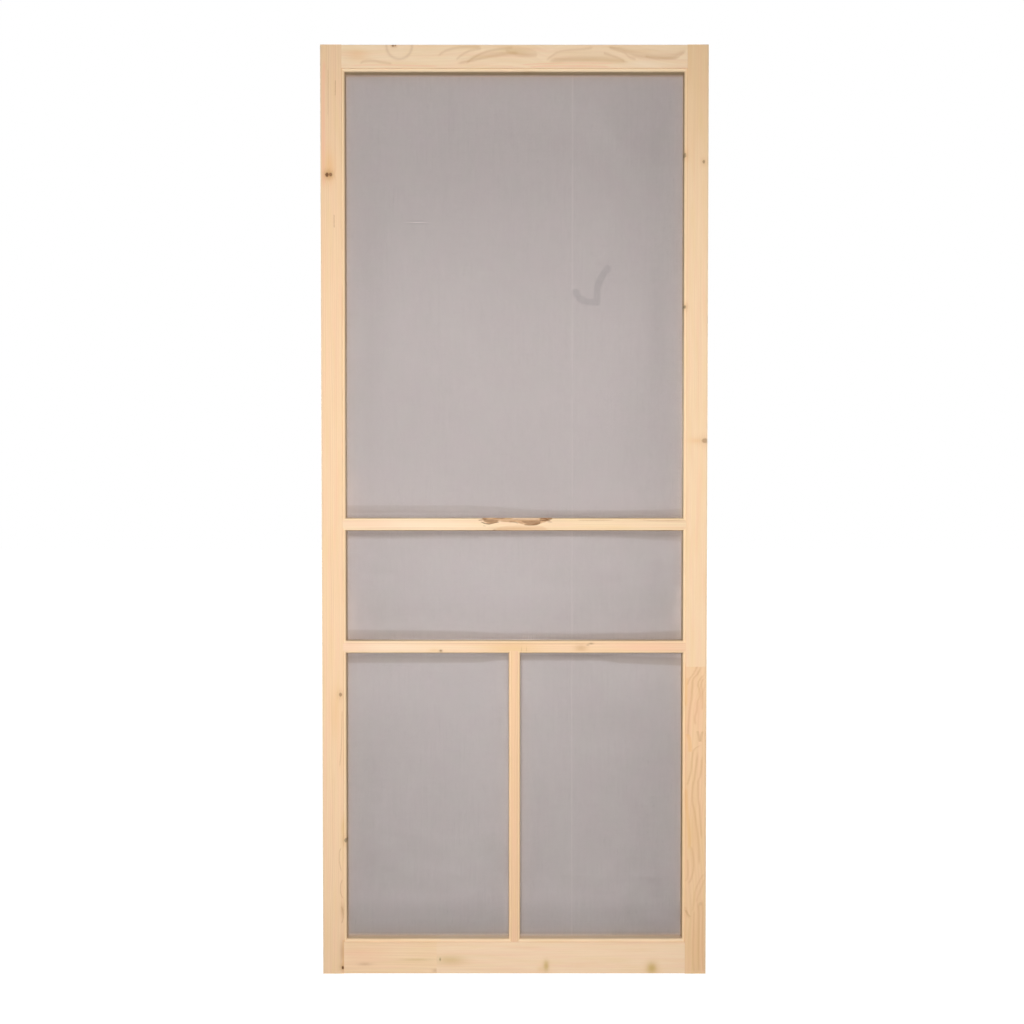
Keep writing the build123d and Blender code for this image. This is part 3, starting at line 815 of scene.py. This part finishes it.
# Loose fibres at the rims of the bark hollows, in millimetres: from x, height and depth
# behind the front to x, height and depth, half as thick as it is, and its rise
BARK_FIBRES = (
    ((343, -16.4, 0.4), (356, -15.2, 1.6), 0.45, 0.2), ((346, -19.6, 0.3), (359, -20.8, 1), 0.5, 0.3),
    ((349, -13.4, 1.8), (362, -12.6, 3.4), 0.45, 0.3), ((361, -22.9, 0.3), (378, -21.4, 0.7), 0.45, 0.3),
    ((370, -13, 5.6), (404, -12.2, 6), 0.5, 0.5), ((384, -18.6, 0.3), (410, -18.9, 0.3), 0.4, 0.2),
    ((412, -12.4, 0.5), (452, -12.3, 0.6), 0.75, 0.3), ((440, -12.6, 0.6), (479, -12.8, 0.5), 0.7, 0.3),
    ((438, -24.4, 0.3), (462, -26.2, 0.3), 0.45, 0.2), ((458, -25.6, 0.3), (478, -22.4, 0.5), 0.5, 0.3),
    ((474, -13.6, 0.6), (493, -11.9, 1.6), 0.6, 0.3), ((480, -15.2, 0.4), (499, -15.8, 0.6), 0.55, 0.3),
    ((487, -13.2, 0.5), (500, -14.4, 0.4), 0.65, 0.2), ((493, -12.4, 0.6), (505.5, -12, 0.5), 0.75, 0.2),
    ((490, -17.4, 0.2), (505, -18, 0.2), 0.4, 0.1),
)


def fibre_material():
    """Torn bark fibre, brown at the ends of the hollows and paler in the middle."""
    material, graph = new_material("bark_fibre")
    x, y, z = graph.millimetres()
    uneven = graph.cloud(x * 0.08, y * 1.2, z * 1.2, detail=3.0)
    middle = x.rise(405.0, 416.0) * x.fall(474.0, 482.0) * z.rise(-15.0, -14.0)
    colour = graph.tint(uneven.rise(-0.8, 0.8), linear(158, 112, 70), linear(192, 144, 96))
    colour = graph.tint(middle * 0.9, colour, linear(250, 218, 178))
    graph.surface(colour, 0.8, uneven, 0.0001, **{"Specular IOR Level": 0.25})
    return material


def added(name, mesh):
    """New object of a mesh, in the scene."""
    holder = bpy.data.objects.new(name, mesh)
    bpy.context.scene.collection.objects.link(holder)
    return holder


def solid_mesh(name, corners, faces, material):
    mesh = bpy.data.meshes.new(name)
    mesh.from_pydata(corners, [], faces)
    mesh.materials.append(material)
    return mesh


class SCREENDOOR_OT_tear_bark(bpy.types.Operator):
    """Lay loose torn fibres along the rims of the bark hollows"""

    bl_idname = "screendoor.tear_bark"
    bl_label = "Tear the bark hollows"

    def execute(self, context):
        corners, faces = [], []
        for start, end, half, rise in BARK_FIBRES:
            ends = [Vector((x, FRONT_MM + deep, z)) / 1000 for x, z, deep in (start, end)]
            lift = Vector((0.0, -0.2, 1.0)) * rise / 1000
            fibre_corners, fibre_faces = spindle(*ends, half / 1000, lift)
            faces += [tuple(corner + len(corners) for corner in face) for face in fibre_faces]
            corners += fibre_corners
        mesh = solid_mesh("bark_fibres", corners, faces, fibre_material())
        fibres = added("bark_fibres", mesh)
        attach(fibres, "root")
        return {"FINISHED"}


def brad_material():
    """Bright steel, a little uneven."""
    material, graph = new_material("brad_steel")
    x, y, z = graph.millimetres()
    uneven = graph.cloud(x * 1.5, y * 1.5, z * 1.5)
    colour = graph.tint(uneven.rise(-0.6, 0.8), linear(150, 146, 140), linear(196, 194, 190))
    graph.surface(colour, 0.38 + uneven * 0.08, uneven, 0.00003, Metallic=1.0)
    return material


def brad_tree(material):
    """Geometry tree of one row of brads: low round heads at a pitch, slightly out of line."""
    tree = bpy.data.node_groups.new("moulding_brads", "GeometryNodeTree")
    graph = Graph(tree)
    given = graph.asks(
        NodeSocketVector=("First", "Pitch"),
        NodeSocketInt=("Count",),
        NodeSocketFloat=("Head diameter", "Stray"),
    )
    line = {"Count": given["Count"], "Start Location": given["First"], "Offset": given["Pitch"]}
    row = graph.node("GeometryNodeMeshLine", line)
    index = graph.node("GeometryNodeInputIndex")
    stray = [graph.cloud(index * 0.73, seed) * given["Stray"] for seed in (4.0, 11.0)]
    stray = graph.vector(stray[0], 0.0, stray[1])
    row = graph.node("GeometryNodeSetPosition", {0: row, "Offset": stray})
    ball = {"Segments": 12, "Rings": 8, "Radius": given["Head diameter"] * 0.5}
    head = graph.node("GeometryNodeMeshUVSphere", ball)
    flattened = {"Points": row, "Instance": head, "Scale": (1.0, 0.36, 1.0)}
    laid = graph.node("GeometryNodeInstanceOnPoints", flattened)
    laid = graph.node("GeometryNodeRealizeInstances", {0: laid})
    graph.gives(graph.node("GeometryNodeSetMaterial", {0: laid, "Material": material}))
    return tree


class SCREENDOOR_OT_drive_brads(bpy.types.Operator):
    """Drive a row of brads through the back of every moulding"""

    bl_idname = "screendoor.drive_brads"
    bl_label = "Drive the brads"

    def execute(self, context):
        brads = context.scene.screendoor_brads
        tree = brad_tree(brad_material())
        for moulding in (*UPRIGHT_MOULDINGS, *LEVEL_MOULDINGS):
            low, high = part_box(moulding)
            middle = (low + high) / 2
            upright = moulding in UPRIGHT_MOULDINGS
            run = Vector((0.0, 0.0, 1.0)) if upright else Vector((1.0, 0.0, 0.0))
            length = (high - low).dot(run) - 2 * brads.inset
            count = round(length / brads.pitch) + 1
            values = {
                "First": tuple(Vector((middle.x, high.y, middle.z)) - run * (length / 2)),
                "Pitch": tuple(run * (length / (count - 1))),
                "Count": count,
                "Head diameter": brads.head,
                "Stray": 0.0006,
            }
            row = grown(moulding.replace("moulding", "brads"), tree, values)
            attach(row, "root")
        return {"FINISHED"}


# Marks on the cloth, in millimetres: x, height, half width, half height, lighter or darker
SCREEN_MARKS = (
    (209, 641.2, 18, 1.3, -0.45), (209, 638.4, 18, 1.3, 0.85), (209, 635.6, 18, 1.3, -0.4),
    (279.4, 877, 1.1, 55, -0.16), (284, 877, 1.1, 55, -0.16), (288.6, 877, 1.1, 55, -0.14),
    (549.4, 0, 1.5, 2000, 0.2), (441, -280, 1.4, 9, 0.3), (447, -280, 1.4, 9, 0.34),
    (453, -280, 1.4, 9, 0.34), (459, -280, 1.4, 9, 0.34), (465, -280, 1.4, 9, 0.26),
    (239, 889, 1.3, 10, 0.22), (232, 889, 1.2, 9, -0.16), (110, 836, 3, 16, -0.1),
    (124, 822, 1.3, 18, -0.14), (190, 925, 1.3, 12, -0.12),
)
# A broad soft darker stroke on the flat cloth, as x and height along its run
DARK_STROKE = (
    (626.7, 536.9), (610.6, 513.7), (603.5, 495), (603.9, 463.4), (581.9, 465.1), (567.6, 469.1),
    (556.9, 484.9),
)


def away_from_run(x, z, places):
    """Distance of a point from a run of straight stretches, as an expression."""
    nearest = 1000.0
    for start, end in zip(places, places[1:]):
        across, up = end[0] - start[0], end[1] - start[1]
        length = math.hypot(across, up)
        across, up = across / length, up / length
        from_x, from_z = x - start[0], z - start[1]
        walked = (from_x * across + from_z * up).between(0.0, length)
        away = away_squared(from_x, from_z, walked * across, walked * up) ** 0.5
        nearest = away.least(nearest)
    return nearest


def yarn_material(screen):
    """Coated glass-fibre yarn, a little glossy and slightly uneven in colour."""
    material, graph = new_material("coated_yarn")
    x, y, z = graph.millimetres()
    streaks = graph.cloud(x * 0.30, 0.0, z * 0.012)
    rows = graph.cloud(x * 0.012, 5.0, z * 0.30)
    patches = graph.cloud(x * 0.05, 9.0, z * 0.05)
    dashes = graph.cloud(x * 0.40, 3.0, z * 0.05, detail=0.0).rise(0.5, 0.85)
    shade = 1 + streaks * 0.10 + rows * 0.06 + patches * 0.06 - dashes * 0.16
    for mark_x, mark_z, half_x, half_z, lighter in SCREEN_MARKS:
        mask = x.bell(mark_x, half_x) * (z - mark_z).size().fall(half_z * 0.8, half_z * 1.1)
        shade = shade + mask * lighter
    ragged = graph.cloud(x * 0.06, 2.0, z * 0.06) * 2.0
    shade = shade - (away_from_run(x, z, DARK_STROKE) + ragged).fall(5.0, 10.0) * 0.40
    rosy = graph.cloud(x * 0.018, 20.0, z * 0.018).rise(-0.6, 0.6)
    base = graph.tint(rosy * 0.5, (*screen.colour, 1.0), linear(172, 168, 160))
    graph.surface(graph.shaded(base, shade), 0.5, **{"Specular IOR Level": 0.4})
    return material


def looseness(x, z):
    """0 where the rabbet, the thin rails and the mullion hold the cloth, 1 where it hangs free."""
    clear = (x - OPENING_LEFT).least(OPENING_RIGHT - x)
    clear = clear.least(z - OPENING_LOW).least(OPENING_HIGH - z)
    clear = clear.least((z - LOCK_CENTRE).size() - THIN_HALF)
    clear = clear.least((z - MIDDLE_CENTRE).size() - THIN_HALF)
    beside_mullion = (x - MULLION_CENTRE).size() - MULLION_HALF
    clear = clear.least(beside_mullion.most(z - MIDDLE_CENTRE))
    return clear.rise(0.0, LOOSE_AT)


def yarns(graph, given, run, count, place_of, depth):
    """Yarns laid side by side, hung at their depth and given a round section."""
    line = graph.node("GeometryNodeCurvePrimitiveLine", {"End": run})
    length = graph.node("GeometryNodeCurveLength", {0: line})
    parts = (length / given["Segment"]).maths("CEIL") + 1
    line = graph.node("GeometryNodeResampleCurve", {"Curve": line, "Count": parts})
    row = graph.node("GeometryNodeMeshLine", {"Count": count})
    row = graph.node("GeometryNodeSetPosition", {0: row, "Position": place_of})
    laid = graph.node("GeometryNodeInstanceOnPoints", {"Points": row, "Instance": line})
    laid = graph.node("GeometryNodeRealizeInstances", {0: laid})
    offset = graph.vector(y=depth)
    laid = graph.node("GeometryNodeSetPosition", {0: laid, "Offset": offset})
    ring = {"Resolution": 6, "Radius": given["Yarn diameter"] * 0.5}
    section = graph.node("GeometryNodeCurvePrimitiveCircle", ring)
    tube = {"Curve": laid, "Profile Curve": section, "Fill Caps": True}
    return graph.node("GeometryNodeCurveToMesh", tube)


def weave_tree(material):
    """Geometry tree of one strip of insect screen: upright and level round yarns."""
    tree = bpy.data.node_groups.new("insect_screen_weave", "GeometryNodeTree")
    graph = Graph(tree)
    given = graph.asks(
        NodeSocketFloat=(
            "Left edge", "Warp pitch", "Foot", "Weft pitch", "Yarn diameter", "Segment", "Slack",
            "Depth", "Reed marks",
        ),
        NodeSocketInt=("Warp count", "First weft", "Weft count"),
    )
    index = graph.node("GeometryNodeInputIndex")
    left, foot = given["Left edge"], given["Foot"]
    width = given["Warp pitch"] * (given["Warp count"] - 1)
    height = given["Weft pitch"] * given["Weft count"]
    low = foot + given["Weft pitch"] * (given["First weft"] - 0.5)
    x, y, z = graph.axes(graph.node("GeometryNodeInputPosition"))
    swell = graph.cloud(x * 4.6, 3.0, z * 3.1, detail=1.0) * 0.5 + 0.45
    depth = looseness(x, z) * swell * given["Slack"] + given["Depth"]
    # The upright yarns lie a little behind the level ones
    behind = given["Yarn diameter"] * 0.22

    uneven_x = graph.cloud(index * 0.31, 7.0, detail=3.0) * given["Reed marks"]
    place_of = graph.vector(left + index * given["Warp pitch"] + uneven_x, 0.0, low)
    upwards = graph.vector(z=height)
    warp = yarns(graph, given, upwards, given["Warp count"], place_of, depth + behind)

    number = index + given["First weft"]
    uneven_z = graph.cloud(number * 0.27, 3.0, detail=3.0) * given["Reed marks"] * 0.6
    place_of = graph.vector(left, 0.0, foot + number * given["Weft pitch"] + uneven_z)
    across = graph.vector(width)
    weft = yarns(graph, given, across, given["Weft count"], place_of, depth - behind)

    both = graph.node("GeometryNodeJoinGeometry", {0: warp})
    tree.links.new(weft.socket, both.socket.node.inputs[0])
    cloth = graph.node("GeometryNodeRealizeInstances", {0: both})
    cloth = graph.node("GeometryNodeSetShadeSmooth", {0: cloth, "Shade Smooth": False})
    graph.gives(graph.node("GeometryNodeSetMaterial", {0: cloth, "Material": material}))
    return tree


def grown(name, tree, values):
    """Plain mesh object that a geometry tree grows, with its modifier taken off."""
    holder = added(name, bpy.data.meshes.new(f"{name}_seed"))
    modifier = holder.modifiers.new("Grow", "NODES")
    modifier.node_group = tree
    sockets = {s.name: s.identifier for s in tree.interface.items_tree if s.in_out == "INPUT"}
    for key, value in values.items():
        modifier[sockets[key]] = value
    evaluated = holder.evaluated_get(bpy.context.evaluated_depsgraph_get())
    mesh = bpy.data.meshes.new_from_object(evaluated)
    holder.modifiers.clear()
    holder.data = mesh
    mesh.name = name
    return holder


class SCREENDOOR_OT_weave_screen(bpy.types.Operator):
    """Weave the insect screen yarn by yarn in four strips, edge to edge"""

    bl_idname = "screendoor.weave_screen"
    bl_label = "Weave the insect screen"

    def execute(self, context):
        screen = context.scene.screendoor_screen
        tree = weave_tree(yarn_material(screen))
        width = CLOTH_HIGH.x - CLOTH_LOW.x
        warps = int((width - screen.yarn) / screen.warp_pitch) + 1
        wefts = int((CLOTH_HIGH.z - CLOTH_LOW.z) / screen.weft_pitch)
        foot = (CLOTH_LOW.z + CLOTH_HIGH.z - (wefts - 1) * screen.weft_pitch) / 2
        seams = [CLOTH_LOW.z, MIDDLE_CENTRE, LOCK_CENTRE, (LOCK_CENTRE + CLOTH_HIGH.z) / 2]
        firsts = [max(0, math.ceil((seam - foot) / screen.weft_pitch)) for seam in seams]
        sides = ["left_stile", "right_stile_upper"]
        holders = {
            "foot": ["bottom_rail_left", "bottom_rail_right", "middle_rail", "mullion"],
            "middle": ["middle_rail", "lock_rail", *sides],
            "upper": ["lock_rail", *sides],
            "head": ["top_rail", *sides],
        }
        for name, first, after in zip(holders, firsts, [*firsts[1:], wefts]):
            values = {
                "Left edge": (CLOTH_LOW.x + CLOTH_HIGH.x - (warps - 1) * screen.warp_pitch) / 2,
                "Warp pitch": screen.warp_pitch,
                "Warp count": warps,
                "Foot": foot,
                "Weft pitch": screen.weft_pitch,
                "First weft": first,
                "Weft count": after - first,
                "Yarn diameter": screen.yarn,
                "Segment": 0.045,
                "Slack": screen.slack,
                "Depth": (CLOTH_LOW.y + CLOTH_HIGH.y) / 2,
                "Reed marks": 0.00024,
            }
            strip = grown(f"insect_screen_{name}", tree, values)
            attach(strip, "root")
            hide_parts("insect_screen")
        return {"FINISHED"}


# Lamps around the middle of the leaf: place, height aimed at, power against that of
# the front lamps together, width and height of the lamp, spread in degrees
LAMPS = {
    "front_upper": ((-0.15, -2.0, 1.1), -0.38, 0.422, (1.5, 0.28), 136.4),
    "front_lower": ((-0.15, -2.3, -1.25), 0.51, 0.325, (1.5, 0.14), 136.4),
    "front_level": ((-0.15, -2.6, -0.5), -0.50, 0.253, (1.2, 1.2), 135.8),
    "left_edge": ((-2.4, 0.0, 0.0), 0.0, 0.505, (0.02, 1.4), 120.0),
    "right_edge": ((2.4, 0.0, 0.0), 0.0, 0.505, (0.02, 1.4), 120.0),
}
# The lamp behind shines almost level, so little of it reaches the front
BACK_LIGHT = (0.03, -1.0, -0.09)
BACK_STRENGTH = 2.8
BACK_SPREAD = math.radians(12)
# The camera that fits the photo: lens in millimetres, how far across, in front of the
# leaf and up it stands in metres, and how far down it looks
CAMERA_LENS = 28.3
CAMERA_ACROSS, CAMERA_AWAY, CAMERA_UP = 0.41668, 1.76, 0.0282
CAMERA_TILT = math.radians(0.845)
# Reach of the floor, its drop below the leaf and the glow that makes it white
FLOOR_REACH = 15.0
FLOOR_DROP = 0.0002
FLOOR_GLOW = 0.90
# Gap between the leaf and the card, the card's inset from the leaf's edge, and the width
# of the border over which its billows grow
CARD_GAP = 0.002
CARD_INSET = 0.012
CARD_BORDER = 0.05


def area_lamp(name, place, aim, power, size, spread):
    """Soft lamp at a place, turned towards a point."""
    lamp = bpy.data.lights.new(name, "AREA")
    lamp.shape = "RECTANGLE"
    lamp.size, lamp.size_y = size
    lamp.energy = power
    lamp.spread = math.radians(spread)
    holder = added(name, lamp)
    holder.location = place
    holder.rotation_euler = (Vector(aim) - Vector(place)).to_track_quat("-Z", "Y").to_euler()
    holder.visible_camera = False
    return holder


def stage_piece(name, corners, faces, material):
    """A surface of the stage, which isn't part of the leaf and neither shades nor lights it."""
    mesh = solid_mesh(name, corners, faces, material)
    mesh.shade_smooth()
    holder = added(name, mesh)
    holder.visible_shadow = False
    holder.visible_diffuse = False
    return holder


# Where the white card hangs further behind the leaf: x, height, reach across and up,
# and how far, in millimetres
CARD_BILLOWS = (
    (100, 35, 200, 60, 12), (790, 0, 150, 90, 6), (100, -235, 260, 60, 15), (430, -235, 200, 55, 8),
    (760, -235, 170, 60, 12), (800, -340, 120, 60, 8), (430, 500, 260, 300, 9), (260, -640, 150, 160, 8),
    (600, -700, 160, 170, 7),
)
# Painted light and shade of the card at each height in millimetres
CARD_SHADE = (
    (-965, 0.43), (-945, 0.5), (-930, 0.55), (-895, 0.62), (-875, 0.68), (-850, 0.73), (-754, 0.71),
    (-498, 0.765), (-345, 0.82), (-290, 0.8), (-245, 0.785), (-190, 0.84), (-85, 0.885), (20, 0.865),
    (123, 0.89), (342, 0.9), (627, 0.81), (780, 0.765), (893, 0.8), (965, 0.8),
)
# Shade of the rails on the card: strength, softness, half as high as it is all along or
# at each place, and the places, x and height, in millimetres
CARD_BANDS = (
    (0.22, 4, (7, 7, 5.5, 6, 7), ((45, 8.5), (301, 8.5), (524, -0.9), (703, -0.9), (801, 2.2))),
    (0.24, 4, (5.5, 5, 4.5, 5, 6, 7), (
        (45, -50.7), (324, -49.8), (547, -48), (614, -48.4), (725, -52.9), (801, -56.1),
    )),
    (0.27, 4, (7, 6.5, 5, 6, 8), ((43, -270.1), (301, -272.4), (424, -276), (614, -276.9), (802, -272.4))),
    (0.45, 4, (6.5, 6, 5, 5.5, 7, 8), (
        (45, -326.8), (323, -326.8), (412, -322.3), (590.5, -322.3), (657, -326.8), (800, -333.5),
    )),
    (0.26, 3, 4.5, ((45, -942.8), (802, -942.8))),
)


def card_mesh(depth):
    """Sheet behind the leaf that hangs in soft billows, flat at its edges."""
    columns, rows = 60, 140
    left, right = LEAF_LOW.x + CARD_INSET, LEAF_HIGH.x - CARD_INSET
    low, high = LEAF_LOW.z + CARD_INSET, LEAF_HIGH.z - CARD_INSET
    corners = []
    for row in range(rows + 1):
        z = low + (high - low) * row / rows
        for column in range(columns + 1):
            x = left + (right - left) * column / columns
            edge = min(1.0, min(x - left, right - x) / CARD_BORDER)
            billow = sum(
                far * math.exp(-(((x * 1000 - at) / wide) ** 2) - ((z * 1000 - up) / tall) ** 2)
                for at, up, wide, tall, far in CARD_BILLOWS
            )
            corners.append((x, depth + edge * edge * (3 - 2 * edge) * billow / 1000, z))
    faces = []
    for row in range(rows):
        for column in range(columns):
            at = row * (columns + 1) + column
            faces.append((at, at + 1, at + columns + 2, at + columns + 1))
    return corners, faces


def card_material():
    """White card with painted shade towards its head, foot and right side and painted rail shadows, clear
    from behind.
    """
    material, graph = new_material("white_card")
    x, y, z = graph.millimetres()
    low, high = CARD_SHADE[0][0], CARD_SHADE[-1][0]
    curve = [((at - low) / (high - low), shade) for at, shade in CARD_SHADE]
    shade = graph.node("ShaderNodeFloatCurve", {"Value": (z - low) / (high - low)}, curve=curve)
    # Painted shade towards the card's right side
    shade = shade * (1 - x.rise(600.0, 800.0) * 0.08)
    colour = graph.shaded(linear(248, 239, 240), shade)
    # Painted shadows of the rails
    for strength, soft, *line in CARD_BANDS:
        away, half = band(graph, x, z, *line)[1:]
        mask = (away.size() - half).fall(-soft / 2, soft)
        colour = graph.tint(mask * strength, colour, linear(158, 136, 112))
    matt = graph.node("ShaderNodeBsdfDiffuse", {"Color": colour})
    clear = graph.node("ShaderNodeBsdfTransparent", {"Color": WHITE})
    behind = graph.node("ShaderNodeNewGeometry", output="Backfacing")
    graph.ends("Material", graph.node("ShaderNodeMixShader", {0: behind, 1: matt, 2: clear}))
    return material


def seen_directly(graph):
    """1 for rays that come straight from the camera, a mirror or a clear body."""
    path = graph.node("ShaderNodeLightPath").socket.node
    seen = [
        Channel(graph, path.outputs[name])
        for name in ("Is Camera Ray", "Is Glossy Ray", "Is Transmission Ray")
    ]
    return seen[0].most(seen[1]).most(seen[2])


def floor_material(pale):
    """Matt floor that glows a little where it is seen."""
    material, graph = new_material("pale_floor")
    matt = graph.node("ShaderNodeBsdfDiffuse", {"Color": pale})
    glow = {"Color": WHITE, "Strength": seen_directly(graph) * FLOOR_GLOW}
    glow = graph.node("ShaderNodeEmission", glow)
    graph.ends("Material", graph.node("ShaderNodeAddShader", {0: matt, 1: glow}))
    return material


def white_world(scene, surround):
    """White all around where it is seen directly, and only an even glow as light."""
    world = bpy.data.worlds.new("white_studio")
    world.use_nodes = True
    scene.world = world
    graph = Graph(world.node_tree)
    strength = surround + seen_directly(graph) * (1 - surround)
    sky = {"Color": WHITE, "Strength": strength}
    graph.ends("World", graph.node("ShaderNodeBackground", sky))


def hang_lamps(front_power, floor):
    """Lamps in front of the leaf, beside it and behind it."""
    # The lamps near the floor would burn it out, so they light only the rest
    unlit = bpy.data.collections.new("not_lit_by_lamps")
    unlit.objects.link(floor)
    unlit.collection_objects[0].light_linking.link_state = "EXCLUDE"
    for name, (place, aim, share, size, spread) in LAMPS.items():
        place = (LEAF_MIDDLE + place[0], *place[1:])
        lamp = area_lamp(name, place, (LEAF_MIDDLE, 0.0, aim), front_power * share, size, spread)
        lamp.light_linking.receiver_collection = unlit
    back = bpy.data.lights.new("back", "SUN")
    back.energy = BACK_STRENGTH
    back.angle = BACK_SPREAD
    added("back", back).rotation_euler = Vector(BACK_LIGHT).to_track_quat("-Z", "Y").to_euler()


def stand_camera():
    """Camera that sees the leaf as the photo does."""
    camera = bpy.data.cameras.new("camera")
    camera.lens = CAMERA_LENS
    camera.sensor_width = 36.0
    camera.clip_start, camera.clip_end = 0.05, 100.0
    holder = added("camera", camera)
    holder.location = (CAMERA_ACROSS, LEAF_LOW.y - CAMERA_AWAY, CAMERA_UP)
    holder.rotation_euler = (math.pi / 2 - CAMERA_TILT, 0.0, 0.0)
    return holder


class SCREENDOOR_OT_set_stage(bpy.types.Operator):
    """Lay the floor, place the card behind the leaf, the lamps and the camera"""

    bl_idname = "screendoor.set_stage"
    bl_label = "Set the stage"

    def execute(self, context):
        scene = context.scene
        studio = scene.screendoor_studio
        white_world(scene, studio.surround)

        level = LEAF_LOW.z - FLOOR_DROP
        ends = ((-1, -1), (1, -1), (1, 1), (-1, 1))
        corners = [(LEAF_MIDDLE + x * FLOOR_REACH, y * FLOOR_REACH, level) for x, y in ends]
        material = floor_material((*studio.floor, 1.0))
        floor = stage_piece("pale_floor", corners, [(0, 1, 2, 3)], material)

        # White card close behind the leaf, lit through the screen and clear from behind
        corners, faces = card_mesh(LEAF_HIGH.y + CARD_GAP)
        card = stage_piece("white_card", corners, faces, card_material())
        card.visible_glossy = False
        card.visible_transmission = False

        hang_lamps(studio.lamp_power, floor)
        scene.camera = stand_camera()
        scene.view_settings.view_transform = "Standard"
        return {"FINISHED"}


STEPS = (
    SCREENDOOR_OT_finish_pine,
    SCREENDOOR_OT_tear_bark,
    SCREENDOOR_OT_weave_screen,
    SCREENDOOR_OT_drive_brads,
    SCREENDOOR_OT_set_stage,
)


class SCREENDOOR_PT_panel(bpy.types.Panel):
    """Steps that dress the screen door leaf"""

    bl_idname = "SCREENDOOR_PT_panel"
    bl_label = "Screen door"
    bl_space_type = "VIEW_3D"
    bl_region_type = "UI"
    bl_category = "Screen door"

    def draw(self, context):
        for step in STEPS:
            self.layout.operator(step.bl_idname)


SETTINGS = {
    "screendoor_pine": PineSettings,
    "screendoor_screen": ScreenSettings,
    "screendoor_brads": BradSettings,
    "screendoor_studio": StudioSettings,
}


def register():
    for group in (*SETTINGS.values(), *STEPS, SCREENDOOR_PT_panel):
        bpy.utils.register_class(group)
    for name, group in SETTINGS.items():
        setattr(bpy.types.Scene, name, bpy.props.PointerProperty(type=group))


def unregister():
    for name in SETTINGS:
        delattr(bpy.types.Scene, name)
    for group in (SCREENDOOR_PT_panel, *STEPS, *SETTINGS.values()):
        bpy.utils.unregister_class(group)


def main():
    register()
    bpy.ops.screendoor.finish_pine()
    bpy.ops.screendoor.tear_bark()
    bpy.ops.screendoor.weave_screen()
    bpy.ops.screendoor.drive_brads()
    bpy.ops.screendoor.set_stage()


if __name__ == "__main__":
    main()
